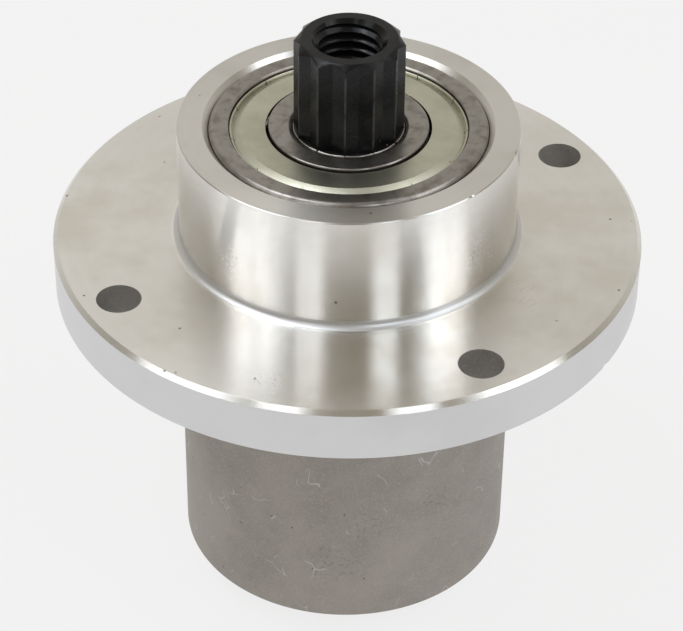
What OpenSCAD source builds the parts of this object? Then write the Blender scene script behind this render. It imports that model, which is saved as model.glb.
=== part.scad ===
// Mower deck spindle: a flanged bearing housing that carries a vertical blade shaft.
// The frame's origin is the centre of the bolt circle on the flange's underside, and +Z runs up
// the spindle axis. All lengths are in millimetres.

/* [Housing] */
// Diameter of the mounting flange
flange_d = 132.5; // [126:0.1:160]
// Thickness of the flange
flange_t = 12.5; // [8:0.1:16]
// Chamfer round the flange's upper edge
flange_chamfer = 1; // [0.2:0.1:2]
// Edge break round the flange's underside
flange_foot_chamfer = 0.2; // [0.1:0.1:1]
// Diameter of the turned hub above the flange
hub_d = 75.8; // [70:0.1:84]
// Height of the hub's top face above the flange's underside
hub_top = 40; // [32:0.1:60]
// Edge break round the hub's top
hub_chamfer = 0.4; // [0.1:0.1:1]
// Diameter of the cast barrel below the flange
barrel_d = 76.6; // [70:0.1:84]
// Depth of the barrel below the flange's underside
barrel_depth = 72.6; // [50:0.1:110]
// Edge break round the barrel's foot
barrel_chamfer = 0.6; // [0.1:0.1:1.5]
// Radius of the fillet at the hub's foot
hub_fillet = 1.8; // [0.2:0.1:3]
// Radius of the fillet under the flange
barrel_fillet = 1.5; // [0.2:0.1:3]
// Diameter of the cavity between the two bearing seats
cavity_d = 54; // [46:0.5:56]
// Chamfer at the mouth of each bearing seat
mouth_chamfer = 1.2; // [0.3:0.1:2]

/* [Bolt holes] */
// Distance from the bolt circle to the flange's edge
bolt_edge = 9.1; // [7:0.1:12]
// Diameter of each bolt hole
bolt_hole_d = 9.9; // [6:0.1:12]
// Number of bolt holes
bolt_count = 4; // [3:1:8]
// Angle of the first bolt hole from +X
bolt_turn = 30; // [0:1:90]

/* [Bearings] */
// Bore of both ball bearings, and diameter of the shaft's journals
bearing_bore = 25; // [24:0.5:26]
// Outside diameter of both ball bearings
bearing_od = 62; // [60:0.5:64]
// Width of both ball bearings
bearing_w = 17; // [16:0.5:20]
// Depth of each bearing below its end of the housing
bearing_recess = 0.2; // [0:0.05:2]
// Outside diameter of the inner ring
inner_ring_d = 35.4; // [34:0.1:37]
// Inside diameter of the outer ring
outer_ring_bore = 52; // [51:0.1:54]
// Chamfer on the corners of both rings
ring_chamfer = 1.1; // [0.5:0.1:1.5]
// Diameter of the balls, as a share of the bearing's width
ball_share = 0.6764706; // [0.5:0.0000001:0.7]
// Number of balls in each bearing
ball_count = 7; // [5:1:8]
// Radius of the raceway grooves, as a share of the balls' diameter
groove_share = 0.52; // [0.51:0.005:0.54]
// Gap between a ball and its raceways
ball_gap = 0.05; // [0.02:0.01:0.1]
// Thickness of the cage's sheet
cage_t = 0.8; // [0.4:0.1:1.2]
// Width of the cage's ribbon
cage_w = 3.5; // [2.5:0.1:4.5]
// Gap between a ball and its pocket
pocket_gap = 0.15; // [0.05:0.05:0.4]
// Diameter of the cage's rivets
rivet_d = 1.6; // [1:0.1:2]
// Diameter of the rivets' heads
rivet_head_d = 2.8; // [2.2:0.1:3.4]
// Height of the rivets' heads
rivet_head_h = 0.5; // [0.3:0.1:0.8]
// Gap round the shank of a rivet
rivet_gap = 0.05; // [0.02:0.01:0.1]
// Thickness of the shields' sheet
shield_t = 0.35; // [0.2:0.05:0.5]
// Depth of the shields' flat below the rings' faces
shield_recess = 0.55; // [0.3:0.05:1]
// Gap between a shield and the inner ring
shield_gap = 0.6; // [0.2:0.1:1]
// Depth of the recess that a shield is crimped into
shield_seat = 1.6; // [1.4:0.1:2]

/* [Shaft] */
// Width of the twelve-point drive across its points
drive_d = 24.4; // [23.2:0.1:24.8]
// Height of the drive above the hub's top face
drive_h = 21.75; // [14:0.25:40]
// Height of the cone that ends the drive
drive_cone_h = 1.3; // [0.5:0.1:3]
// Radial drop of the cone that ends the drive
drive_cone_in = 1.7; // [0.5:0.1:2.5]
// Drop from the upper bearing's face to the journal's end
journal_drop = 0.3; // [0.1:0.1:2]
// Angle of one ridge of the drive from +X
drive_turn = -93.8; // [-180:0.1:180]
// Diameter of the wall of both threaded holes
thread_d = 13.4; // [10:0.1:14]
// Depth of both threaded holes
thread_depth = 38; // [20:1:44]
// Diameter of the countersink at each threaded hole
countersink_d = 16.6; // [16.2:0.1:18]
// Diameter of the shoulder under the lower bearing
shoulder_d = 34; // [32:0.5:34.5]
// Diameter of the blade seat
blade_seat_d = 44; // [38:0.5:50]
// Distance from the housing's foot to the blade face
nose_h = 8; // [5:0.5:16]
// Gap between the housing's foot and the blade seat
nose_gap = 2; // [1:0.5:4]
// Chamfer on the blade seat
seat_chamfer = 1; // [0.2:0.1:2]

/* [Spacer] */
// Outside diameter of the sleeve between the inner rings
spacer_d = 32; // [29:0.5:34]
// Gap between the sleeve and the shaft
spacer_gap = 0.1; // [0.02:0.01:0.3]

/* [Fits] */
// Radial gap between a ring and its seat
ring_fit = 0.01; // [0.01:0.01:0.03]

/* [Hidden] */
$fn = 96;
// Overrun of every cut past the face that it opens
cut = 1;
// Points in each quarter turn of a fillet
fillet_steps = 5;

// Diameter of the bolt circle
bolt_circle_d = flange_d - 2 * bolt_edge;
// Diameter of the balls and radius of the grooves that they run in
ball_d = bearing_w * ball_share;
groove_r = ball_d * groove_share;
// Heights of the bearings' middle planes
upper_mid = hub_top - bearing_recess - bearing_w / 2;
lower_mid = bearing_recess + bearing_w / 2 - barrel_depth;
// Heights of the shaft's steps, from its foot up
foot_z = -barrel_depth - nose_h;
blade_seat_top = -barrel_depth - nose_gap;
shoulder_top = lower_mid - bearing_w / 2;
journal_top = upper_mid + bearing_w / 2 - journal_drop;
drive_top = hub_top + drive_h;
// Radius of the circle on which the balls run
pitch_r = (inner_ring_d + outer_ring_bore) / 4;
// Radii of the circles on which the raceways' grooves are centred
outer_groove_r = pitch_r + ball_d / 2 + ball_gap - groove_r;
inner_groove_r = pitch_r - ball_d / 2 - ball_gap + groove_r;
// Radii of a shield's inner edge, of its recess and of the groove that its lip is crimped into
shield_in_r = inner_ring_d / 2 + shield_gap;
shield_out_r = outer_ring_bore / 2 + shield_t + ball_gap * 3;
crimp_r = shield_out_r + shield_t;
// Places of the shield's bends, as shares of its width from the inner edge to the recess
shield_shares = [0.69, 0.71, 0.8, 0.82, 0.9, 0.93];
// Places of the outer ring's shield recess, as shares of its depth
seat_shares = [0.3, 0.75];

// Points of a round corner about [x, z], from one angle to another
function corner(x, z, r, from, to) = [
    for (i = [0 : fillet_steps])
        let (a = from + (to - from) * i / fillet_steps)
            [x + r * cos(a), z + r * sin(a)]
];

// Radius of a shield's bend
function bend_r(i) = shield_in_r + (shield_out_r - shield_in_r) * shield_shares[i];

// The housing's outside, as half of its section
module housing_section() {
    flange_r = flange_d / 2;
    hub_r = hub_d / 2;
    barrel_r = barrel_d / 2;
    polygon(concat(
        [
            [0, -barrel_depth],
            [barrel_r - barrel_chamfer, -barrel_depth],
            [barrel_r, barrel_chamfer - barrel_depth]
        ],
        corner(barrel_r + barrel_fillet, -barrel_fillet, barrel_fillet, 180, 90),
        [
            [flange_r - flange_foot_chamfer, 0],
            [flange_r, flange_foot_chamfer],
            [flange_r, flange_t - flange_chamfer],
            [flange_r - flange_chamfer, flange_t]
        ],
        corner(hub_r + hub_fillet, flange_t + hub_fillet, hub_fillet, 270, 180),
        [
            [hub_r, hub_top - hub_chamfer],
            [hub_r - hub_chamfer, hub_top],
            [0, hub_top]
        ]
    ));
}

// The cavity with a bearing seat at each end, as half of its section
module cavity_section() {
    seat_r = bearing_od / 2 + ring_fit;
    cavity_r = cavity_d / 2;
    upper_seat = upper_mid - bearing_w / 2;
    lower_seat = lower_mid + bearing_w / 2;
    polygon([
        [0, -barrel_depth - cut],
        [seat_r + mouth_chamfer + cut, -barrel_depth - cut],
        [seat_r, mouth_chamfer - barrel_depth],
        [seat_r, lower_seat],
        [cavity_r, lower_seat],
        [cavity_r, upper_seat],
        [seat_r, upper_seat],
        [seat_r, hub_top - mouth_chamfer],
        [seat_r + mouth_chamfer + cut, hub_top + cut],
        [0, hub_top + cut]
    ]);
}

// One casting: hub, flange and barrel, bored for both bearings and drilled for its bolts
module housing() {
    color("silver")
    difference() {
        rotate_extrude()
        housing_section();

        rotate_extrude()
        cavity_section();

        for (i = [0 : bolt_count - 1])
            rotate(bolt_turn + i * 360 / bolt_count)
            translate([bolt_circle_d / 2, 0, -cut])
            cylinder(d = bolt_hole_d, h = flange_t + 2 * cut);
    }
}

// The drive's outline: two hexagons, half a flat apart
module twelve_point() {
    for (turn = [0, 30])
        rotate(drive_turn + turn)
        circle(d = drive_d, $fn = 6);
}

// A threaded hole's wall and countersink, drilled down from its mouth at z = 0
module threaded_hole() {
    sink_h = (countersink_d - thread_d) / 2;
    translate([0, 0, -thread_depth])
    cylinder(d = thread_d, h = thread_depth + cut);

    translate([0, 0, -sink_h])
    cylinder(d1 = thread_d, d2 = countersink_d + 2 * cut, h = sink_h + cut);
}

// The steps of the shaft below the drive, as half of its section
module shaft_section() {
    journal_r = bearing_bore / 2 - ring_fit;
    seat_r = blade_seat_d / 2;
    shoulder_r = shoulder_d / 2;
    polygon([
        [0, foot_z],
        [seat_r - seat_chamfer, foot_z],
        [seat_r, foot_z + seat_chamfer],
        [seat_r, blade_seat_top - seat_chamfer],
        [seat_r - seat_chamfer, blade_seat_top],
        [shoulder_r, blade_seat_top],
        [shoulder_r, shoulder_top],
        [journal_r, shoulder_top],
        [journal_r, journal_top],
        [0, journal_top]
    ]);
}

// The blade shaft: a blade seat, a journal through both bearings, and a twelve-point drive
module shaft() {
    cone_foot = drive_top - drive_cone_h;
    drive_r = drive_d / 2;
    color([0.2, 0.2, 0.2])
    difference() {
        union() {
            rotate_extrude()
            shaft_section();

            intersection() {
                translate([0, 0, journal_top - cut])
                linear_extrude(height = drive_top - journal_top + cut)
                twelve_point();

                rotate_extrude()
                polygon([
                    [0, journal_top - cut],
                    [drive_r, journal_top - cut],
                    [drive_r, cone_foot],
                    [drive_r - drive_cone_in, drive_top],
                    [0, drive_top]
                ]);
            }
        }

        translate([0, 0, drive_top])
        threaded_hole();

        translate([0, 0, foot_z])
        mirror([0, 0, 1])
        threaded_hole();
    }
}

// The sleeve that holds the two inner rings apart
module spacer_sleeve() {
    sleeve_foot = lower_mid + bearing_w / 2;
    sleeve_h = upper_mid - bearing_w / 2 - sleeve_foot;
    color("gray")
    translate([0, 0, sleeve_foot])
    difference() {
        cylinder(d = spacer_d, h = sleeve_h);

        translate([0, 0, -cut])
        cylinder(d = bearing_bore + 2 * spacer_gap, h = sleeve_h + 2 * cut);
    }
}

// A raceway groove that is centred on a circle of the given radius
module raceway(r) {
    rotate_extrude()
    translate([r, 0])
    circle(r = groove_r);
}

// The outer ring's section above its middle plane, from its bore round to its outside
function outer_ring_points() =
    let (
        face = bearing_w / 2,
        out_r = bearing_od / 2,
        in_r = outer_ring_bore / 2,
        lip_z = face - shield_seat * seat_shares[0]
    )
    [
        [in_r, face - shield_seat],
        [shield_out_r, face - shield_seat],
        [crimp_r, face - shield_seat * seat_shares[1]],
        [crimp_r, lip_z - shield_t],
        [shield_out_r, lip_z],
        [shield_out_r, face - shield_t],
        [shield_out_r + shield_t, face],
        [out_r - ring_chamfer, face],
        [out_r, face - ring_chamfer]
    ];

// The outer ring, about its middle plane
module outer_ring() {
    above = outer_ring_points();
    below = [for (i = [len(above) - 1 : -1 : 0]) [above[i].x, -above[i].y]];
    color("darkgray")
    difference() {
        rotate_extrude()
        polygon(concat(above, below));

        raceway(outer_groove_r);
    }
}

// The inner ring, about its middle plane
module inner_ring() {
    face = bearing_w / 2;
    in_r = bearing_bore / 2;
    out_r = inner_ring_d / 2;
    edge = ring_chamfer / 3;
    color("darkgray")
    difference() {
        rotate_extrude()
        polygon([
            [in_r + ring_chamfer, -face],
            [out_r - edge, -face],
            [out_r, edge - face],
            [out_r, face - edge],
            [out_r - edge, face],
            [in_r + ring_chamfer, face],
            [in_r, face - ring_chamfer],
            [in_r, ring_chamfer - face]
        ]);

        raceway(inner_groove_r);
    }
}

// A place beside each ball, turned by a share of the balls' spacing
module at_balls(turn_share = 0) {
    for (i = [0 : ball_count - 1])
        rotate((i + turn_share) * 360 / ball_count)
        translate([pitch_r, 0, 0])
        children();
}

// The balls of one bearing
module balls() {
    color("whitesmoke")
    at_balls()
    sphere(d = ball_d);
}

// The upper half of a ribbon cage: a flat ring that is pressed up into a pocket over each ball
module cage_half() {
    pocket_r = ball_d / 2 + pocket_gap;
    color("tan")
    difference() {
        intersection() {
            union() {
                cylinder(r = pitch_r + cage_w / 2, h = cage_t);

                at_balls()
                sphere(r = pocket_r + cage_t);
            }

            difference() {
                cylinder(r = pitch_r + cage_w / 2, h = bearing_w / 2);

                translate([0, 0, -cut])
                cylinder(r = pitch_r - cage_w / 2, h = bearing_w / 2 + 2 * cut);
            }
        }

        at_balls()
        sphere(r = pocket_r);

        at_balls(turn_share = 0.5)
        translate([0, 0, -cut])
        cylinder(r = rivet_d / 2 + rivet_gap, h = cage_t + 2 * cut);
    }
}

// The rivets that join the two halves of one cage
module cage_rivets() {
    color("tan")
    at_balls(turn_share = 0.5)
    union() {
        translate([0, 0, -cage_t])
        cylinder(d = rivet_d, h = 2 * cage_t);

        for (foot = [cage_t, -cage_t - rivet_head_h])
            translate([0, 0, foot])
            cylinder(d = rivet_head_d, h = rivet_head_h);
    }
}

// The upper shield of a bearing: a pressed disc with a step near its rim and a crimped lip
module shield() {
    face = bearing_w / 2;
    flat_z = face - shield_recess;
    step_z = flat_z - shield_t;
    lip_top = face - shield_seat * seat_shares[0] - shield_t;
    lip_foot = face - shield_seat * seat_shares[1];
    color("beige")
    rotate_extrude()
    polygon([
        [shield_in_r, flat_z],
        [bend_r(0), flat_z],
        [bend_r(1), step_z],
        [bend_r(2), step_z],
        [bend_r(3), flat_z],
        [bend_r(4), flat_z],
        [bend_r(5), face - shield_t],
        [shield_out_r - ball_gap, face - shield_t],
        [shield_out_r - ball_gap, lip_top],
        [crimp_r - ball_gap, lip_top - ball_gap],
        [crimp_r - ball_gap, lip_foot],
        [bend_r(4), flat_z - shield_t],
        [bend_r(3), flat_z - shield_t],
        [bend_r(2), step_z - shield_t],
        [bend_r(1), step_z - shield_t],
        [bend_r(0), flat_z - shield_t],
        [shield_in_r, flat_z - shield_t]
    ]);
}

// A place at the upper bearing's middle plane
module upper() {
    translate([0, 0, upper_mid])
    children();
}

// A place at the lower bearing's middle plane
module lower() {
    translate([0, 0, lower_mid])
    children();
}

// A bearing's piece, turned over to its underside
module under() {
    mirror([0, 0, 1])
    children();
}

housing();
shaft();
spacer_sleeve();
upper() outer_ring();  // upper_outer_ring
upper() inner_ring();  // upper_inner_ring
upper() balls();  // upper_balls
upper() cage_half();  // upper_cage_top
upper() under() cage_half();  // upper_cage_bottom
upper() cage_rivets();  // upper_cage_rivets
upper() shield();  // upper_shield_top
upper() under() shield();  // upper_shield_bottom
lower() outer_ring();  // lower_outer_ring
lower() inner_ring();  // lower_inner_ring
lower() balls();  // lower_balls
lower() cage_half();  // lower_cage_top
lower() under() cage_half();  // lower_cage_bottom
lower() cage_rivets();  // lower_cage_rivets
lower() shield();  // lower_shield_top
lower() under() shield();  // lower_shield_bottom
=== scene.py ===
"""Dresses a mower deck spindle: a turned and cast bearing housing that carries a black blade shaft
in two shielded ball bearings. Lengths are in metres, in the part's own frame."""

import math

import bmesh
import bpy
from mathutils import Matrix, Vector


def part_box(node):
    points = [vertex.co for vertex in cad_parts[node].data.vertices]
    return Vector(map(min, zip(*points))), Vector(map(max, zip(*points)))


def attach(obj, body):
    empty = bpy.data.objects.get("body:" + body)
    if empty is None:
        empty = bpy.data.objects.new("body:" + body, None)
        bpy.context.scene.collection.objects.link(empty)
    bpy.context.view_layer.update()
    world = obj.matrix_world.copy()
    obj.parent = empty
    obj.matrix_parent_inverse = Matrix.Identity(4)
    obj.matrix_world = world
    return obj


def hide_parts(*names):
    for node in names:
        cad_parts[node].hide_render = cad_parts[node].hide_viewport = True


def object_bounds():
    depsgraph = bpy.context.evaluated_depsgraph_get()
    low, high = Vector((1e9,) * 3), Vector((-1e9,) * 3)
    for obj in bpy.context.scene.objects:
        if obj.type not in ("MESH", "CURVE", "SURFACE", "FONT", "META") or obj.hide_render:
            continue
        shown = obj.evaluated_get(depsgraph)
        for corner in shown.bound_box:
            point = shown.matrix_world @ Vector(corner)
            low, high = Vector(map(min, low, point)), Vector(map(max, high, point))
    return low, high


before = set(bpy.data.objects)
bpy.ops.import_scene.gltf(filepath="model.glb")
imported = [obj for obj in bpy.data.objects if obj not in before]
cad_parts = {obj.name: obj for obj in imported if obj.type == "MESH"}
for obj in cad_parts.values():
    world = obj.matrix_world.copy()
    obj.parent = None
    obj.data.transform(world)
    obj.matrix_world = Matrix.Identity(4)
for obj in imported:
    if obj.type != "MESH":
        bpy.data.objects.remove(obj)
cad_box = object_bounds()
mm = 0.001

# Camera and studio
# The part stands on a pale floor, ringed by soft window and strip lights in a warm dim room.
# The camera looks down on it through a long lens, as the product photograph was taken.
camera_data = bpy.data.cameras.new("camera")
camera_data.sensor_width = 36
camera_data.lens = 138.23
camera = bpy.data.objects.new("camera", camera_data)
camera.location = (0, -480 * mm, 360 * mm)
camera.rotation_euler = [math.radians(a) for a in (52.105, -0.494, 0.52)]
bpy.context.scene.collection.objects.link(camera)
bpy.context.scene.camera = camera
bpy.context.scene.view_settings.view_transform = "Standard"


def plain_material(name):
    """A new material, its node tree and its Principled shader."""
    material = bpy.data.materials.new(name)
    material.use_nodes = True
    return material, material.node_tree, material.node_tree.nodes["Principled BSDF"]


floor_half_width = 3.0
floor_mesh = bmesh.new()
bmesh.ops.create_grid(floor_mesh, x_segments=1, y_segments=1, size=floor_half_width)
bmesh.ops.translate(floor_mesh, verts=floor_mesh.verts, vec=(0, 0, cad_box[0].z))
floor_data = bpy.data.meshes.new("floor")
floor_mesh.to_mesh(floor_data)
floor_mesh.free()
floor = bpy.data.objects.new("floor", floor_data)
bpy.context.scene.collection.objects.link(floor)
floor_paint, _, floor_shader = plain_material("floor_paint")
floor_shader.inputs["Base Color"].default_value = (0.12, 0.12, 0.12, 1)
floor_shader.inputs["Roughness"].default_value = 0.9
floor_shader.inputs["Specular IOR Level"].default_value = 0.1
floor_shader.inputs["Emission Color"].default_value = (1, 1, 1, 1)
floor_shader.inputs["Emission Strength"].default_value = 0.79
floor_data.materials.append(floor_paint)

room = bpy.data.worlds.new("room")
room.use_nodes = True
bpy.context.scene.world = room
room_nodes = room.node_tree.nodes
room_links = room.node_tree.links
room_direction = room_nodes.new("ShaderNodeTexCoord")
room_split = room_nodes.new("ShaderNodeSeparateXYZ")
room_tone = room_nodes.new("ShaderNodeValToRGB")
room_tone.color_ramp.elements[0].position = 0.5
room_tone.color_ramp.elements[0].color = (0.31, 0.285, 0.235, 1)
room_tone.color_ramp.elements[1].position = 1.0
room_tone.color_ramp.elements[1].color = (0.73, 0.71, 0.66, 1)
room_depth = room_nodes.new("ShaderNodeMapRange")
room_depth.inputs["From Min"].default_value = -1
room_links.new(room_direction.outputs["Generated"], room_split.inputs["Vector"])
room_links.new(room_split.outputs["Y"], room_depth.inputs["Value"])
room_links.new(room_depth.outputs["Result"], room_tone.inputs["Fac"])
room_links.new(room_tone.outputs["Color"], room_nodes["Background"].inputs["Color"])

light_target = Vector((0, 0, 20 * mm))
light_distance = 0.9
light_height = 0.45
daylight = (0.83, 0.91, 1.0)
cool_white = (0.92, 0.95, 1.0)
white = (1.0, 1.0, 1.0)


def softbox(name, azimuth, elevation, spread, power, colour=white):
    """A soft light that faces the part. Its sides lie a spread in degrees from its azimuth."""
    a = math.radians(azimuth)
    e = math.radians(elevation)
    away = Vector((math.cos(a) * math.cos(e), math.sin(a) * math.cos(e), math.sin(e)))
    data = bpy.data.lights.new(name, "AREA")
    data.shape = "RECTANGLE"
    data.size = 2 * light_distance * math.cos(e) * math.tan(math.radians(spread))
    data.size_y = light_height
    data.energy = power
    data.color = colour
    light = bpy.data.objects.new(name, data)
    light.location = light_target + away * light_distance
    light.rotation_euler = away.to_track_quat("Z", "Y").to_euler()
    bpy.context.scene.collection.objects.link(light)


softbox("left_window_high", -163, 68, 9.7, 1.3, daylight)
softbox("left_window", -163, 40, 9.7, 0.53, cool_white)
softbox("left_window_front", -144, 40, 9.7, 0.26, cool_white)
softbox("left_strip", -115.5, 40, 9.1, 0.42, cool_white)
softbox("left_strip_high", -115.5, 68, 9.1, 0.21, cool_white)
softbox("right_strip", -63.4, 40, 8.8, 0.76, daylight)
softbox("right_window_front", -28.4, 40, 8.6, 0.7, daylight)
softbox("right_window_low", -28.4, 12, 8.6, 0.44, cool_white)
softbox("right_window", -11.2, 40, 8.6, 0.62, cool_white)
softbox("right_side_high", 12, 60, 18.4, 0.68, cool_white)
softbox("left_side_high", 172, 60, 18.4, 1.2, cool_white)
softbox("back_panel", 110, 40, 13.9, 0.055)

# Housing
# One aluminium casting. The hub and the flange are turned bright on a lathe, which leaves fine
# rings, and the barrel below the flange keeps its dull grey skin. Four bolt holes are drilled.
housing_low, housing_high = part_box("housing")
flange_r = (housing_high.x - housing_low.x) / 2 / mm
flange_t = 12.5
flange_chamfer = 1.0
flange_foot_chamfer = 0.2
hub_r = 37.9
hub_top = housing_high.z / mm
hub_edge = 0.25
hub_fillet = 1.8
foot_step = 0.04
foot_ramp = 0.25
barrel_r = 38.3
barrel_foot = housing_low.z / mm
barrel_fillet = 1.5
seat_r = 31.01
seat_depth = 17.2
cavity_r = 27.0
mouth_chamfer = 1.2
bolt_circle_r = 57.15
bolt_hole_r = 4.95
bolt_angles = (30, 120, 210, 300)
edge_break = 0.12


def round_corner(r, z, size, start, end, steps=6):
    """Points of a rounded corner about (r, z), from one angle to another, in millimetres."""
    turns = [math.radians(start + (end - start) * i / steps) for i in range(steps + 1)]
    return [(r + size * math.cos(a), z + size * math.sin(a)) for a in turns]


def turned(name, outline, steps=256):
    """A piece turned on a lathe: a closed outline of radius and height, spun round the axis."""
    mesh = bmesh.new()
    corners = [mesh.verts.new((r * mm, 0, z * mm)) for r, z in outline]
    sides = [mesh.edges.new(pair) for pair in zip(corners, corners[1:] + corners[:1])]
    bmesh.ops.spin(
        mesh, geom=corners + sides, axis=(0, 0, 1), angle=math.tau, steps=steps, use_merge=True
    )
    bmesh.ops.remove_doubles(mesh, verts=mesh.verts, dist=0.001 * mm)
    bmesh.ops.recalc_face_normals(mesh, faces=mesh.faces)
    return as_object(name, mesh)


def as_object(name, mesh):
    """Puts a bmesh into the scene as an object at the origin."""
    data = bpy.data.meshes.new(name)
    mesh.to_mesh(data)
    mesh.free()
    piece = bpy.data.objects.new(name, data)
    bpy.context.scene.collection.objects.link(piece)
    return piece


def apply_modifiers(piece):
    """Makes the modified mesh the piece's own."""
    evaluated = piece.evaluated_get(bpy.context.evaluated_depsgraph_get())
    data = bpy.data.meshes.new_from_object(evaluated)
    piece.modifiers.clear()
    piece.data = data


def combine(piece, tool, operation):
    """Cuts a tool out of a piece, or keeps what both hold, and removes the tool."""
    cut = piece.modifiers.new("cut", "BOOLEAN")
    cut.operation = operation
    cut.solver = "EXACT"
    cut.object = tool
    apply_modifiers(piece)
    bpy.data.objects.remove(tool)


def break_edges(piece, width, segments=2, angle=28):
    """Rounds the sharp edges a little, as a file or a tumbler leaves them, and shades flats flat."""
    bevel = piece.modifiers.new("bevel", "BEVEL")
    bevel.width = width * mm
    bevel.segments = segments
    bevel.limit_method = "ANGLE"
    bevel.angle_limit = math.radians(angle)
    bevel.use_clamp_overlap = True
    apply_modifiers(piece)
    shade(piece)


def shade(piece, sharp_angle=40):
    """Smooth shading that stays flat on the flats."""
    piece.data.shade_smooth()
    piece.data.set_sharp_from_angle(angle=math.radians(sharp_angle))
    piece.modifiers.new("flats", "WEIGHTED_NORMAL").keep_sharp = True
    apply_modifiers(piece)


housing = turned("housing_body", [
    (cavity_r, barrel_foot + seat_depth),
    (seat_r, barrel_foot + seat_depth),
    (seat_r, barrel_foot + mouth_chamfer),
    (seat_r + mouth_chamfer, barrel_foot),
    (barrel_r, barrel_foot),
    *round_corner(barrel_r + barrel_fillet, -barrel_fillet, barrel_fillet, 180, 90),
    (flange_r - flange_foot_chamfer, 0),
    (flange_r, flange_foot_chamfer),
    (flange_r, flange_t - flange_chamfer),
    (flange_r - flange_chamfer, flange_t),
    (hub_r + hub_fillet + foot_ramp, flange_t),
    *round_corner(
        hub_r + hub_fillet, flange_t + foot_step + hub_fillet, hub_fillet, 270, 180
    ),
    (hub_r, hub_top - hub_edge),
    (hub_r - hub_edge, hub_top),
    (seat_r + mouth_chamfer, hub_top),
    (seat_r, hub_top - mouth_chamfer),
    (seat_r, hub_top - seat_depth),
    (cavity_r, hub_top - seat_depth),
])
drills = bmesh.new()
for bolt_angle in bolt_angles:
    place = Matrix.Rotation(math.radians(bolt_angle), 4, "Z")
    place @= Matrix.Translation((bolt_circle_r * mm, 0, flange_t / 2 * mm))
    bmesh.ops.create_cone(
        drills, cap_ends=True, segments=64, radius1=bolt_hole_r * mm, radius2=bolt_hole_r * mm,
        depth=2 * flange_t * mm, matrix=place
    )
combine(housing, as_object("drills", drills), "DIFFERENCE")
break_edges(housing, edge_break)
# Knocks along the edges, each a small dent: radius, height, azimuth and size
knocks = bmesh.new()
for knock_r, knock_z, knock_azimuth, knock_size in (
    (hub_r, hub_top, -46, 0.4),
    (hub_r, hub_top, -17, 0.7),
    (flange_r, flange_foot_chamfer, -31, 0.7),
    (flange_r, flange_t, -93, 0.5),
    (flange_r, flange_t, -104, 0.4),
    (flange_r, flange_t, -152, 0.4),
    (hub_r, hub_top, 158, 0.4),
    (barrel_r, barrel_foot, 20, 0.6),
):
    place = Matrix.Rotation(math.radians(knock_azimuth), 4, "Z")
    place @= Matrix.Translation(((knock_r + knock_size / 3) * mm, 0, knock_z * mm))
    bmesh.ops.create_icosphere(
        knocks, subdivisions=2, radius=knock_size * mm,
        matrix=place @ Matrix.Diagonal((1.0, 2.2, 0.8, 1.0))
    )
combine(housing, as_object("knocks", knocks), "DIFFERENCE")
shade(housing)


def node_group(name, inputs, outputs):
    """An empty shader node group with named float inputs, a Vector input and named outputs."""
    group = bpy.data.node_groups.new(name, "ShaderNodeTree")
    group.interface.new_socket("Vector", in_out="INPUT", socket_type="NodeSocketVector")
    for socket in inputs:
        group.interface.new_socket(socket, in_out="INPUT", socket_type="NodeSocketFloat")
    for socket in outputs:
        group.interface.new_socket(socket, in_out="OUTPUT", socket_type="NodeSocketFloat")
    return group, group.nodes.new("NodeGroupInput"), group.nodes.new("NodeGroupOutput")


def math_node(tree, operation, *values):
    """A Math node, with each value a number or an output to link."""
    node = tree.nodes.new("ShaderNodeMath")
    node.operation = operation
    for socket, value in zip(node.inputs, values):
        if isinstance(value, (int, float)):
            socket.default_value = value
        else:
            tree.links.new(value, socket)
    return node.outputs["Value"]


def noise_node(tree, vector, scale, detail=2.0, roughness=0.5):
    """A Noise texture on the given coordinates."""
    node = tree.nodes.new("ShaderNodeTexNoise")
    tree.links.new(vector, node.inputs["Vector"])
    node.inputs["Scale"].default_value = scale
    node.inputs["Detail"].default_value = detail
    node.inputs["Roughness"].default_value = roughness
    return node.outputs["Fac"]


def threshold(tree, value, low, high):
    """A mask that rises from 0 to 1 between two values."""
    node = tree.nodes.new("ShaderNodeMapRange")
    node.interpolation_type = "SMOOTHSTEP"
    tree.links.new(value, node.inputs["Value"])
    node.inputs["From Min"].default_value = low
    node.inputs["From Max"].default_value = high
    return node.outputs["Result"]


# A lathe's rings: fine grooves that follow the radius on a face and the height on a wall
lathe_rings, rings_in, rings_out = node_group("lathe_rings", ["Spacing"], ["Rings", "Bands"])
rings_split = lathe_rings.nodes.new("ShaderNodeSeparateXYZ")
lathe_rings.links.new(rings_in.outputs["Vector"], rings_split.inputs["Vector"])
rings_radius = math_node(
    lathe_rings, "SQRT",
    math_node(
        lathe_rings, "ADD",
        math_node(lathe_rings, "POWER", rings_split.outputs["X"], 2.0),
        math_node(lathe_rings, "POWER", rings_split.outputs["Y"], 2.0),
    ),
)
rings_travel = math_node(lathe_rings, "ADD", rings_radius, rings_split.outputs["Z"])
for rings_output, rings_detail, rings_share in (("Rings", 2.0, 1.0), ("Bands", 3.0, 0.12)):
    rings_noise = lathe_rings.nodes.new("ShaderNodeTexNoise")
    rings_noise.noise_dimensions = "1D"
    rings_noise.inputs["Scale"].default_value = 1.0
    rings_noise.inputs["Detail"].default_value = rings_detail
    rings_steps = math_node(lathe_rings, "DIVIDE", rings_travel, rings_in.outputs["Spacing"])
    lathe_rings.links.new(
        math_node(lathe_rings, "MULTIPLY", rings_steps, rings_share), rings_noise.inputs["W"]
    )
    lathe_rings.links.new(rings_noise.outputs["Fac"], rings_out.inputs[rings_output])

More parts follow.
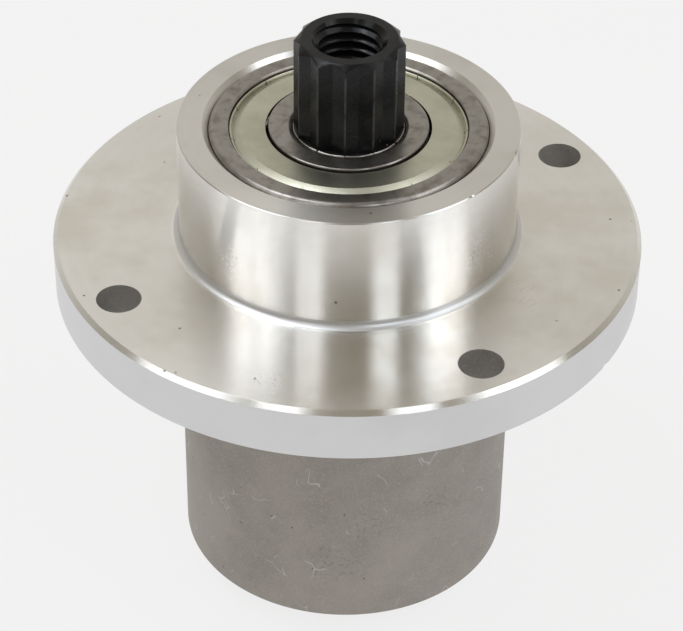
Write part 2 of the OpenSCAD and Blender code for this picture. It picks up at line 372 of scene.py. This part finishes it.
# Hairline scratches: short thin curved lines, kept only in patches
scratches, scratch_in, scratch_out = node_group("scratches", ["Scale", "Width"], ["Mask"])
scratch_bend = scratches.nodes.new("ShaderNodeTexNoise")
scratch_bend.inputs["Scale"].default_value = 90.0
scratches.links.new(scratch_in.outputs["Vector"], scratch_bend.inputs["Vector"])
scratch_shift = scratches.nodes.new("ShaderNodeVectorMath")
scratch_shift.operation = "MULTIPLY_ADD"
scratch_shift.inputs[1].default_value = (0.014, 0.014, 0.014)
scratches.links.new(scratch_bend.outputs["Color"], scratch_shift.inputs[0])
scratches.links.new(scratch_in.outputs["Vector"], scratch_shift.inputs[2])
scratch_cells = scratches.nodes.new("ShaderNodeTexVoronoi")
scratch_cells.feature = "DISTANCE_TO_EDGE"
scratches.links.new(scratch_shift.outputs["Vector"], scratch_cells.inputs["Vector"])
scratches.links.new(scratch_in.outputs["Scale"], scratch_cells.inputs["Scale"])
scratch_line = math_node(
    scratches, "LESS_THAN", scratch_cells.outputs["Distance"], scratch_in.outputs["Width"]
)
scratch_patch = threshold(
    scratches, noise_node(scratches, scratch_in.outputs["Vector"], 170.0, 1.0), 0.58, 0.68
)
scratches.links.new(
    math_node(scratches, "MULTIPLY", scratch_line, scratch_patch), scratch_out.inputs["Mask"]
)

# A scuff: parallel strokes that fade out from the middle of the coordinates it is given
scuffs, scuff_in, scuff_out = node_group("scuffs", ["Size"], ["Mask"])
scuff_length = scuffs.nodes.new("ShaderNodeVectorMath")
scuff_length.operation = "LENGTH"
scuffs.links.new(scuff_in.outputs["Vector"], scuff_length.inputs[0])
scuff_reach = math_node(
    scuffs, "DIVIDE", scuff_length.outputs["Value"], scuff_in.outputs["Size"]
)
scuff_near = threshold(scuffs, scuff_reach, 1.0, 0.35)
scuff_stretch = scuffs.nodes.new("ShaderNodeVectorMath")
scuff_stretch.operation = "MULTIPLY"
scuff_stretch.inputs[1].default_value = (1.0, 0.16, 1.0)
scuffs.links.new(scuff_in.outputs["Vector"], scuff_stretch.inputs[0])
scuff_strokes = threshold(
    scuffs, noise_node(scuffs, scuff_stretch.outputs["Vector"], 1100.0, 2.0), 0.56, 0.64
)
scuffs.links.new(
    math_node(scuffs, "MULTIPLY", scuff_near, scuff_strokes), scuff_out.inputs["Mask"]
)

# Specks: small dots of grit and pitting, each cell keeping its dot by chance
specks, speck_in, speck_out = node_group("specks", ["Scale", "Size", "Share"], ["Mask"])
speck_cells = specks.nodes.new("ShaderNodeTexVoronoi")
specks.links.new(speck_in.outputs["Vector"], speck_cells.inputs["Vector"])
specks.links.new(speck_in.outputs["Scale"], speck_cells.inputs["Scale"])
speck_chance = specks.nodes.new("ShaderNodeSeparateColor")
specks.links.new(speck_cells.outputs["Color"], speck_chance.inputs["Color"])
speck_near = math_node(
    specks, "LESS_THAN", speck_cells.outputs["Distance"], speck_in.outputs["Size"]
)
speck_kept = math_node(
    specks, "LESS_THAN", speck_chance.outputs["Red"], speck_in.outputs["Share"]
)
specks.links.new(math_node(specks, "MULTIPLY", speck_near, speck_kept), speck_out.inputs["Mask"])


def object_coordinates(tree):
    """The piece's own coordinates, in metres."""
    return tree.nodes.new("ShaderNodeTexCoord").outputs["Object"]


def use_group(tree, group, vector, output="Mask", **values):
    """Places a shared effect on a material, with this material's own values."""
    node = tree.nodes.new("ShaderNodeGroup")
    node.node_tree = group
    tree.links.new(vector, node.inputs["Vector"])
    for name, value in values.items():
        node.inputs[name].default_value = value
    return node.outputs[output] if output else node


def mix_colour(tree, factor, first, second):
    """A colour between two others, each a tuple or an output."""
    node = tree.nodes.new("ShaderNodeMix")
    node.data_type = "RGBA"
    tree.links.new(factor, node.inputs["Factor"])
    for socket, colour in ((node.inputs["A"], first), (node.inputs["B"], second)):
        if isinstance(colour, tuple):
            socket.default_value = (*colour, 1)
        else:
            tree.links.new(colour, socket)
    return node.outputs["Result"]


def bump(tree, shader, height, strength, distance):
    """Raises the surface by a height from 0 to 1, over a distance in millimetres."""
    node = tree.nodes.new("ShaderNodeBump")
    node.inputs["Strength"].default_value = strength
    node.inputs["Distance"].default_value = distance * mm
    tree.links.new(height, node.inputs["Height"])
    tree.links.new(node.outputs["Normal"], shader.inputs["Normal"])


def scuff_places(tree, where, places):
    """The strokes of several scuffs: each an azimuth, radius, height, turn and size."""
    total = None
    for azimuth, radius, height, turn, size in places:
        a = math.radians(azimuth)
        centre = Vector((radius * math.cos(a), radius * math.sin(a), height)) * mm
        centred = tree.nodes.new("ShaderNodeMapping")
        centred.vector_type = "TEXTURE"
        centred.inputs["Location"].default_value = centre
        centred.inputs["Rotation"].default_value = [math.radians(angle) for angle in turn]
        tree.links.new(where, centred.inputs["Vector"])
        mask = use_group(tree, scuffs, centred.outputs["Vector"], Size=size * mm)
        total = mask if total is None else math_node(tree, "MAXIMUM", total, mask)
    return total


def turned_metal(
    name, clean, stained, roughness, spacing, groove, brushed, places=(), stain_scale=42.0
):
    """Bright turned metal: lathe rings, faint stains, specks and scuffs."""
    material, tree, shader = plain_material(name)
    where = object_coordinates(tree)
    rings = use_group(tree, lathe_rings, where, None, Spacing=spacing * mm)
    stain = threshold(tree, noise_node(tree, where, stain_scale, 4.0, 0.6), 0.42, 0.72)
    colour = mix_colour(tree, stain, clean, stained)
    tint = math_node(tree, "MULTIPLY", rings.outputs["Bands"], 0.35)
    colour = mix_colour(tree, tint, colour, stained)
    speck = use_group(tree, specks, where, Scale=420.0, Size=0.13, Share=0.035)
    colour = mix_colour(tree, math_node(tree, "MULTIPLY", speck, 0.7), colour, (0.1, 0.09, 0.08))
    tree.links.new(colour, shader.inputs["Base Color"])
    wear = math_node(tree, "MULTIPLY", stain, 0.03)
    if places:
        scuffed = scuff_places(tree, where, places)
        wear = math_node(tree, "ADD", wear, math_node(tree, "MULTIPLY", scuffed, 0.05))
    tree.links.new(math_node(tree, "ADD", wear, roughness), shader.inputs["Roughness"])
    shader.inputs["Metallic"].default_value = 1.0
    shader.inputs["Anisotropic"].default_value = brushed
    shader.inputs["Anisotropic Rotation"].default_value = 0.25
    bump(tree, shader, rings.outputs["Rings"], groove, 0.02)
    return material


bright_aluminium = turned_metal(
    "turned_aluminium", (0.86, 0.85, 0.83), (0.76, 0.73, 0.68),
    roughness=0.23, spacing=0.35, groove=0.12, brushed=1.0, places=[
        (-40, hub_r, 24, (0, 20, 0), 8),
        (-131, hub_r, 24, (0, -25, 0), 6),
        (2, 50, flange_t, (0, 0, 60), 11),
        (-33, 47, flange_t, (0, 0, -40), 8),
        (-106, 58, flange_t, (0, 0, 30), 6),
    ]
)
# A darker copy of the turned aluminium for the hub's faced top and the mouth's chamfer: its darker
# colour is painted shade.
faced_aluminium_painted_shade = turned_metal(
    "faced_aluminium_painted_shade", (0.73, 0.715, 0.69), (0.62, 0.60, 0.56),
    roughness=0.28, spacing=0.3, groove=0.12, brushed=0.9
)
# A darker, rougher copy of the turned aluminium for the flange's rim and the hub's fillet: its
# darker colour is painted shade.
rim_aluminium_painted_shade = turned_metal(
    "rim_aluminium_painted_shade", (0.67, 0.67, 0.675), (0.63, 0.63, 0.63),
    roughness=0.36, spacing=0.3, groove=0.15, brushed=0.3, places=[
        (-128, flange_r, 6, (0, 40, 0), 7),
        (-60, flange_r, 5, (0, -30, 0), 6),
    ]
)


def cast_skin(name, light, dark, grain_colour, places=()):
    """A dull cast or drilled skin: a sandy grain, smudges, pale hairlines and dark specks."""
    material, tree, shader = plain_material(name)
    where = object_coordinates(tree)
    smudge = threshold(tree, noise_node(tree, where, 34.0, 5.0, 0.65), 0.35, 0.7)
    colour = mix_colour(tree, smudge, light, dark)
    grain = noise_node(tree, where, 2300.0, 4.0, 0.75)
    colour = mix_colour(tree, threshold(tree, grain, 0.45, 0.75), colour, grain_colour)
    if places:
        scuffed = scuff_places(tree, where, places)
        dirt = tuple(0.55 * channel for channel in dark)
        colour = mix_colour(tree, math_node(tree, "MULTIPLY", scuffed, 0.35), colour, dirt)
    scratch = use_group(tree, scratches, where, Scale=120.0, Width=0.014)
    colour = mix_colour(
        tree, math_node(tree, "MULTIPLY", scratch, 0.5), colour, (0.62, 0.61, 0.59)
    )
    speck = use_group(tree, specks, where, Scale=420.0, Size=0.12, Share=0.06)
    colour = mix_colour(tree, math_node(tree, "MULTIPLY", speck, 0.6), colour, (0.08, 0.07, 0.06))
    tree.links.new(colour, shader.inputs["Base Color"])
    shader.inputs["Metallic"].default_value = 0.45
    shader.inputs["Roughness"].default_value = 0.62
    bump(tree, shader, grain, 0.7, 0.05)
    return material


barrel_skin = cast_skin(
    "cast_aluminium", (0.355, 0.325, 0.295), (0.275, 0.25, 0.225), (0.42, 0.39, 0.36), [
        (-93, barrel_r, -56, (0, 35, 0), 10),
        (-82, barrel_r, -45, (0, 10, 0), 7),
        (-58, barrel_r, -42, (0, 60, 0), 6),
    ]
)
drilled_wall = cast_skin(
    "drilled_aluminium", (0.36, 0.34, 0.315), (0.25, 0.235, 0.215), (0.44, 0.42, 0.39)
)
housing_finishes = (
    bright_aluminium, barrel_skin, rim_aluminium_painted_shade, drilled_wall, faced_aluminium_painted_shade
)
housing.data.materials.clear()
for finish in housing_finishes:
    housing.data.materials.append(finish)
bolt_centres = [
    Matrix.Rotation(math.radians(bolt_angle), 3, "Z") @ Vector((bolt_circle_r * mm, 0, 0))
    for bolt_angle in bolt_angles
]
for face in housing.data.polygons:
    radius = math.hypot(face.center.x, face.center.y) / mm
    upright = abs(face.normal.z) < 0.5
    on_rim = upright and radius > flange_r - flange_chamfer / 2
    in_fillet = hub_r < radius < hub_r + hub_fillet and 0.1 < face.normal.z < 0.98
    drilled = upright and any(
        math.hypot(face.center.x - centre.x, face.center.y - centre.y) < (bolt_hole_r + 0.05) * mm
        for centre in bolt_centres
    )
    on_barrel = face.center.z < 0 and seat_r + mouth_chamfer < radius < barrel_r + barrel_fillet
    if drilled:
        face.material_index = housing_finishes.index(drilled_wall)
    elif on_barrel and face.normal.z > -0.9:
        face.material_index = housing_finishes.index(barrel_skin)
    # The rim and the fillet take the darker copy of the aluminium, whose darker colour is painted
    # shade.
    elif in_fillet or on_rim:
        face.material_index = housing_finishes.index(rim_aluminium_painted_shade)
    # The hub's top and the mouth take the faced copy, whose darker colour is painted shade.
    elif radius < hub_r and face.center.z > (hub_top - mouth_chamfer - 0.1) * mm:
        face.material_index = housing_finishes.index(faced_aluminium_painted_shade)
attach(housing, "housing")
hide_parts("housing")

# Ball bearings
# Each bearing is two ground rings, seven balls in a riveted ribbon cage, and a pressed shield at
# each face whose rim is crimped into the outer ring. The upper one shows in the hub's mouth.
face_z = hub_top - 0.2
bearing_w = 17.0
bore_r = 12.5
inner_ring_r = 17.7
outer_ring_r = 31.0
outer_bore_r = 26.0
shield_seat_r = 26.5
shield_seat = 1.6
ring_corner = 1.1
ring_edge = 0.37
crimp_depth = 0.35
crimp_slope = 0.3
crimp_lip = 0.1
crimp_lip_h = 0.05
ring_relief = 0.14
relief_depth = 2.6
ball_r = 5.75
groove_r = 0.52 * 2 * ball_r
pitch_r = (inner_ring_r + outer_bore_r) / 2
groove_gap = 0.05
groove_middle = ball_r + groove_gap - groove_r
half_groove = math.degrees(math.acos((pitch_r - inner_ring_r - groove_middle) / groove_r))
upper_middle = face_z - bearing_w / 2
lower_middle = barrel_foot + 0.2 + bearing_w / 2
ground_steel = turned_metal(
    "ground_steel", (0.37, 0.35, 0.325), (0.22, 0.20, 0.18),
    roughness=0.3, spacing=0.3, groove=0.1, brushed=0.5, stain_scale=330.0
)


def both_faces(upper_half):
    """A ring's outline from its upper half, which is mirrored below its middle plane."""
    return upper_half + [(r, -z) for r, z in reversed(upper_half)]


def ground_ring(name, upper_half, middle, body, node):
    """A bearing ring, ground all over, that stands for a CAD node."""
    outline = [(r, z + middle) for r, z in both_faces(upper_half)]
    ring = turned(name, outline, 192)
    shade(ring, 28)
    ring.data.materials.append(ground_steel)
    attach(ring, body)
    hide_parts(node)


face = bearing_w / 2
outer_half = [
    *round_corner(pitch_r + groove_middle, 0, groove_r, 0, half_groove, 8),
    (outer_bore_r, face - shield_seat),
    (shield_seat_r, face - shield_seat),
    (shield_seat_r, face - crimp_depth),
    (shield_seat_r + crimp_slope, face - crimp_lip_h),
    (shield_seat_r + crimp_slope + crimp_lip, face),
    *round_corner(
        outer_ring_r - ring_relief - ring_corner, face - ring_corner, ring_corner, 90, 0
    ),
    (outer_ring_r - ring_relief, face - relief_depth + ring_relief),
    (outer_ring_r, face - relief_depth),
]
inner_half = [
    *round_corner(pitch_r - groove_middle, 0, groove_r, 180, 180 - half_groove, 8),
    *round_corner(inner_ring_r - ring_edge, face - ring_edge, ring_edge, 0, 90, 4),
    *round_corner(bore_r + ring_corner, face - ring_corner, ring_corner, 90, 180),
]
for level, middle in (("upper", upper_middle), ("lower", lower_middle)):
    ground_ring(f"{level}_outer_ring_body", outer_half, middle, "housing", f"{level}_outer_ring")
    ground_ring(f"{level}_inner_ring_body", inner_half, middle, "spindle", f"{level}_inner_ring")


def sheet_metal():
    """Plated sheet: a pale olive tint, cloudy plating and a few pits."""
    material, tree, shader = plain_material("plated_sheet")
    where = object_coordinates(tree)
    cloud = threshold(tree, noise_node(tree, where, 90.0, 5.0, 0.6), 0.35, 0.7)
    colour = mix_colour(tree, cloud, (0.56, 0.555, 0.46), (0.47, 0.46, 0.37))
    pit = use_group(tree, specks, where, Scale=900.0, Size=0.18, Share=0.03)
    colour = mix_colour(tree, math_node(tree, "MULTIPLY", pit, 0.5), colour, (0.15, 0.15, 0.12))
    tree.links.new(colour, shader.inputs["Base Color"])
    rough = math_node(tree, "ADD", math_node(tree, "MULTIPLY", cloud, 0.08), 0.32)
    tree.links.new(rough, shader.inputs["Roughness"])
    shader.inputs["Metallic"].default_value = 1.0
    bump(tree, shader, noise_node(tree, where, 1200.0, 2.0), 0.15, 0.02)
    return material


def plain_metal(name, colour, shade_colour, roughness, scale):
    """A hidden piece's steel, mottled a little."""
    material, tree, shader = plain_material(name)
    where = object_coordinates(tree)
    mottle = noise_node(tree, where, scale, 4.0, 0.6)
    tree.links.new(mix_colour(tree, mottle, colour, shade_colour), shader.inputs["Base Color"])
    rough = math_node(tree, "ADD", math_node(tree, "MULTIPLY", mottle, 0.1), roughness)
    tree.links.new(rough, shader.inputs["Roughness"])
    shader.inputs["Metallic"].default_value = 1.0
    return material


def dress_node(node, material):
    """Gives a CAD node a material."""
    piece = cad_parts[node]
    piece.data.materials.clear()
    piece.data.materials.append(material)


plated_sheet = sheet_metal()
shield_bore_r = inner_ring_r + 0.6
shield_sheet = 0.35
slit_count = 13
slit_turn = -2
# The pressed profile, as radius and depth below the ring's face
shield_top = [
    (shield_bore_r, 0.62),
    (shield_bore_r + 0.07, 0.55),
    (23.75, 0.55),
    (23.95, 0.61),
    (24.12, 0.72),
    (25.5, 1.3),
    (25.57, 1.5),
    (25.74, 1.5),
    (25.76, 0.95),
    (25.88, 0.8),
    (26.02, 0.74),
    (26.18, 0.76),
    (26.32, 0.9),
    (26.36, 1.5),
]
shield_under = [
    (26.1, 1.55),
    (25.97, 1.57),
    (25.9, 1.85),
    (25.4, 1.85),
    (24.9, 1.08 + shield_sheet),
    (24.0, 0.72 + shield_sheet),
    (23.6, 0.55 + shield_sheet),
    (shield_bore_r, 0.55 + shield_sheet),
]


def pressed_shield(name, node, outer_face_z, direction):
    """A shield of pressed sheet: a flat, a step down, and a rolled rim slit for crimping."""
    outline = [
        (r, outer_face_z - direction * depth) for r, depth in shield_top + shield_under
    ]
    shield = turned(name, outline, 240)
    slits = bmesh.new()
    for i in range(slit_count):
        place = Matrix.Rotation(math.radians(slit_turn + i * 360 / slit_count), 4, "Z")
        place @= Matrix.Translation((25.95 * mm, 0, (outer_face_z - direction * 1.1) * mm))
        place @= Matrix.Diagonal((1.5, 0.2, 1.6, 1.0))
        bmesh.ops.create_cube(slits, size=mm, matrix=place)
    combine(shield, as_object("slits", slits), "DIFFERENCE")
    shade(shield, 50)
    shield.data.materials.clear()
    shield.data.materials.append(plated_sheet)
    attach(shield, "housing")
    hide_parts(node)


pressed_shield("upper_shield_pressed", "upper_shield_top", face_z, 1)
pressed_shield("lower_shield_pressed", "lower_shield_bottom", lower_middle - bearing_w / 2, -1)
cage_sheet = plain_metal("cage_sheet", (0.55, 0.50, 0.43), (0.40, 0.36, 0.30), 0.30, 400.0)
ball_steel = plain_metal("ball_steel", (0.34, 0.34, 0.34), (0.28, 0.28, 0.28), 0.2, 200.0)
for level, inner_shield in (("upper", "bottom"), ("lower", "top")):
    dress_node(f"{level}_balls", ball_steel)
    dress_node(f"{level}_cage_top", cage_sheet)
    dress_node(f"{level}_cage_bottom", cage_sheet)
    dress_node(f"{level}_cage_rivets", cage_sheet)
    dress_node(f"{level}_shield_{inner_shield}", plated_sheet)

# Spacer sleeve
# A length of turned tube that holds the two inner rings apart. It is hidden in the housing.
sleeve_steel = plain_metal("sleeve_steel", (0.42, 0.41, 0.39), (0.33, 0.31, 0.29), 0.35, 150.0)
dress_node("spacer_sleeve", sleeve_steel)

# Shaft
# A steel shaft, blackened all over but for its ground journal. Its top is a twelve-point drive for
# the pulley with a coned end, and both ends are tapped for a bolt.
shaft_low, shaft_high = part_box("shaft")
drive_r = 12.2
drive_top = shaft_high.z / mm
drive_turn = -93.8
cone_h = 1.3
cone_in = 1.7
journal_top = face_z - 0.3
journal_chamfer = 0.35
thread_minor_r = 6.7
thread_major_r = 7.9375
thread_pitch = 25.4 / 11
thread_depth = 38.0
countersink_r = 8.3
shoulder_r = 17.0
blade_seat_r = 22.0
shaft_foot = shaft_low.z / mm
barrel_gap = 2.0
seat_chamfer = 1.0
ridge_bevel = 0.18
# The paler lines on the drive's ridges, partly worn oxide and partly painted highlight: their width
# and the heights where they start and are full
wear_and_highlight_width = 0.1
wear_and_highlight_start = 40.5
wear_and_highlight_full = 41.5


def twelve_point(low, high):
    """A prism whose outline is two hexagons, half a flat apart."""
    valley_r = drive_r * math.cos(math.radians(30)) / math.cos(math.radians(15))
    mesh = bmesh.new()
    corners = []
    for i in range(24):
        a = math.radians(drive_turn + i * 15)
        r = drive_r if i % 2 == 0 else valley_r
        corners.append(mesh.verts.new((r * math.cos(a) * mm, r * math.sin(a) * mm, low * mm)))
    foot = mesh.faces.new(corners)
    top = bmesh.ops.extrude_face_region(mesh, geom=[foot])
    top_corners = [v for v in top["geom"] if isinstance(v, bmesh.types.BMVert)]
    bmesh.ops.translate(mesh, verts=top_corners, vec=(0, 0, (high - low) * mm))
    upright = [e for e in mesh.edges if abs(e.verts[0].co.z - e.verts[1].co.z) > mm]
    bmesh.ops.bevel(
        mesh, geom=upright, offset=ridge_bevel * mm, offset_type="OFFSET", segments=2, profile=0.5,
        affect="EDGES", material=-1
    )
    bmesh.ops.recalc_face_normals(mesh, faces=mesh.faces)
    return as_object("drive", mesh)


def tap(mouth, depth, upwards):
    """The solid form of a tapped hole: its screw thread."""
    mesh = bmesh.new()
    height_shares = (0, 0.06, 0.12, 0.18, 0.5, 0.68, 0.95, 1)
    depth_shares = (0.09, 0, 0, 0.09, 1, 1, 0.2, 0.09)
    profile = []
    for height_share, depth_share in zip(height_shares, depth_shares):
        r = thread_minor_r + (thread_major_r - thread_minor_r) * depth_share
        profile.append(mesh.verts.new((r * mm, 0, thread_pitch * height_share * mm)))
    sides = [mesh.edges.new(pair) for pair in zip(profile, profile[1:])]
    turns = math.ceil(depth / thread_pitch) + 2
    steps = 56 * turns
    bmesh.ops.spin(
        mesh, geom=profile + sides, axis=(0, 0, 1), dvec=(0, 0, thread_pitch * turns / steps * mm),
        angle=math.tau * turns, steps=steps
    )
    bmesh.ops.remove_doubles(mesh, verts=mesh.verts, dist=0.002 * mm)
    for height, normal in ((thread_pitch, -1), (thread_pitch + depth + 1, 1)):
        cut = bmesh.ops.bisect_plane(
            mesh, geom=mesh.verts[:] + mesh.edges[:] + mesh.faces[:], dist=0.0001 * mm,
            plane_co=(0, 0, height * mm), plane_no=(0, 0, normal), clear_outer=True
        )
        rim = [e for e in cut["geom_cut"] if isinstance(e, bmesh.types.BMEdge)]
        bmesh.ops.contextual_create(mesh, geom=rim)
    bmesh.ops.recalc_face_normals(mesh, faces=mesh.faces)
    bmesh.ops.translate(mesh, verts=mesh.verts, vec=(0, 0, -(thread_pitch + depth) * mm))
    place = Matrix.Translation((0, 0, mouth * mm))
    if not upwards:
        place @= Matrix.Rotation(math.pi, 4, "X")
    mesh.transform(place)
    return as_object("tap", mesh)


def countersink(mouth, upwards):
    """The cone that opens a tapped hole's mouth."""
    mesh = bmesh.new()
    depth = countersink_r - thread_minor_r + 1
    middle = depth / 2 - (countersink_r - thread_minor_r)
    direction = 1 if upwards else -1
    place = Matrix.Translation((0, 0, (mouth + direction * middle) * mm))
    if not upwards:
        place @= Matrix.Rotation(math.pi, 4, "X")
    bmesh.ops.create_cone(
        mesh, cap_ends=True, segments=96, radius1=thread_minor_r * mm,
        radius2=(thread_minor_r + depth) * mm, depth=depth * mm, matrix=place
    )
    return as_object("countersink", mesh)


drive = twelve_point(journal_top - 1, drive_top)
combine(drive, turned("drive_cone", [
    (0, journal_top - 2),
    (drive_r + 1, journal_top - 2),
    (drive_r + 1, drive_top - cone_h + cone_h / cone_in),
    (drive_r, drive_top - cone_h),
    (drive_r - cone_in, drive_top),
    (drive_r - cone_in - 1, drive_top + cone_h / cone_in),
    (0, drive_top + cone_h / cone_in),
]), "INTERSECT")
break_edges(drive, edge_break, angle=33)
shaft = turned("shaft_body", [
    (0, shaft_foot),
    (blade_seat_r - seat_chamfer, shaft_foot),
    (blade_seat_r, shaft_foot + seat_chamfer),
    (blade_seat_r, barrel_foot - barrel_gap - seat_chamfer),
    (blade_seat_r - seat_chamfer, barrel_foot - barrel_gap),
    (shoulder_r, barrel_foot - barrel_gap),
    (shoulder_r, barrel_foot + 0.2),
    (bore_r - 0.01, barrel_foot + 0.2),
    (bore_r - 0.01, journal_top - journal_chamfer),
    (bore_r - 0.01 - journal_chamfer, journal_top),
    (0, journal_top),
], 128)
combine(shaft, drive, "UNION")
combine(shaft, tap(drive_top, thread_depth, True), "DIFFERENCE")
combine(shaft, countersink(drive_top, True), "DIFFERENCE")
combine(shaft, tap(shaft_foot, thread_depth, False), "DIFFERENCE")
combine(shaft, countersink(shaft_foot, False), "DIFFERENCE")
shade(shaft, 25)


def black_oxide(name, roughness):
    """Blackened steel: cloudy, with paler lines on the drive's ridges, partly oxide rubbed thin and
    partly painted highlight.
    """
    material, tree, shader = plain_material(name)
    where = object_coordinates(tree)
    cloud = threshold(tree, noise_node(tree, where, 120.0, 5.0, 0.65), 0.35, 0.7)
    colour = mix_colour(tree, cloud, (0.005, 0.005, 0.0055), (0.012, 0.012, 0.012))
    split = tree.nodes.new("ShaderNodeSeparateXYZ")
    tree.links.new(where, split.inputs["Vector"])
    square = math_node(
        tree, "ADD",
        math_node(tree, "POWER", split.outputs["X"], 2.0),
        math_node(tree, "POWER", split.outputs["Y"], 2.0),
    )
    wear_and_highlight_r = drive_r - ridge_bevel
    ridge = threshold(tree, square, (wear_and_highlight_r * mm) ** 2, ((wear_and_highlight_r + wear_and_highlight_width) * mm) ** 2)
    on_drive = threshold(tree, split.outputs["Z"], wear_and_highlight_start * mm, wear_and_highlight_full * mm)
    wear_and_highlight_breaks = threshold(tree, noise_node(tree, where, 170.0, 3.0, 0.6), 0.3, 0.55)
    wear_and_highlight = math_node(
        tree, "MULTIPLY", math_node(tree, "MULTIPLY", ridge, on_drive), wear_and_highlight_breaks
    )
    # The ridges are paler: partly oxide rubbed thin, partly a painted highlight.
    colour = mix_colour(tree, wear_and_highlight, colour, (0.05, 0.05, 0.05))
    scratch = use_group(tree, scratches, where, Scale=220.0, Width=0.012)
    colour = mix_colour(tree, math_node(tree, "MULTIPLY", scratch, 0.1), colour, (0.16, 0.16, 0.16))
    speck = use_group(tree, specks, where, Scale=600.0, Size=0.14, Share=0.04)
    colour = mix_colour(tree, math_node(tree, "MULTIPLY", speck, 0.5), colour, (0.18, 0.17, 0.16))
    tree.links.new(colour, shader.inputs["Base Color"])
    rough = math_node(tree, "ADD", math_node(tree, "MULTIPLY", cloud, 0.1), roughness)
    tree.links.new(rough, shader.inputs["Roughness"])
    shader.inputs["Specular IOR Level"].default_value = 0.2
    grain = noise_node(tree, where, 900.0, 3.0, 0.6)
    bump(tree, shader, grain, 0.15, 0.02)
    return material


blackened = black_oxide("black_oxide", 0.23)
oiled_thread = black_oxide("oiled_thread", 0.15)
shaft_finishes = (blackened, ground_steel, oiled_thread)
shaft.data.materials.clear()
for finish in shaft_finishes:
    shaft.data.materials.append(finish)
for face in shaft.data.polygons:
    low_enough = face.center.z < (journal_top - 0.01) * mm
    above_seat = face.center.z > (barrel_foot - barrel_gap + 0.01) * mm
    radius = math.hypot(face.center.x, face.center.y) / mm
    if radius < thread_major_r + 0.1 and abs(face.normal.z) < 0.95:
        face.material_index = shaft_finishes.index(oiled_thread)
    elif low_enough and above_seat and radius > bore_r - 1:
        face.material_index = shaft_finishes.index(ground_steel)
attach(shaft, "spindle")
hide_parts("shaft")
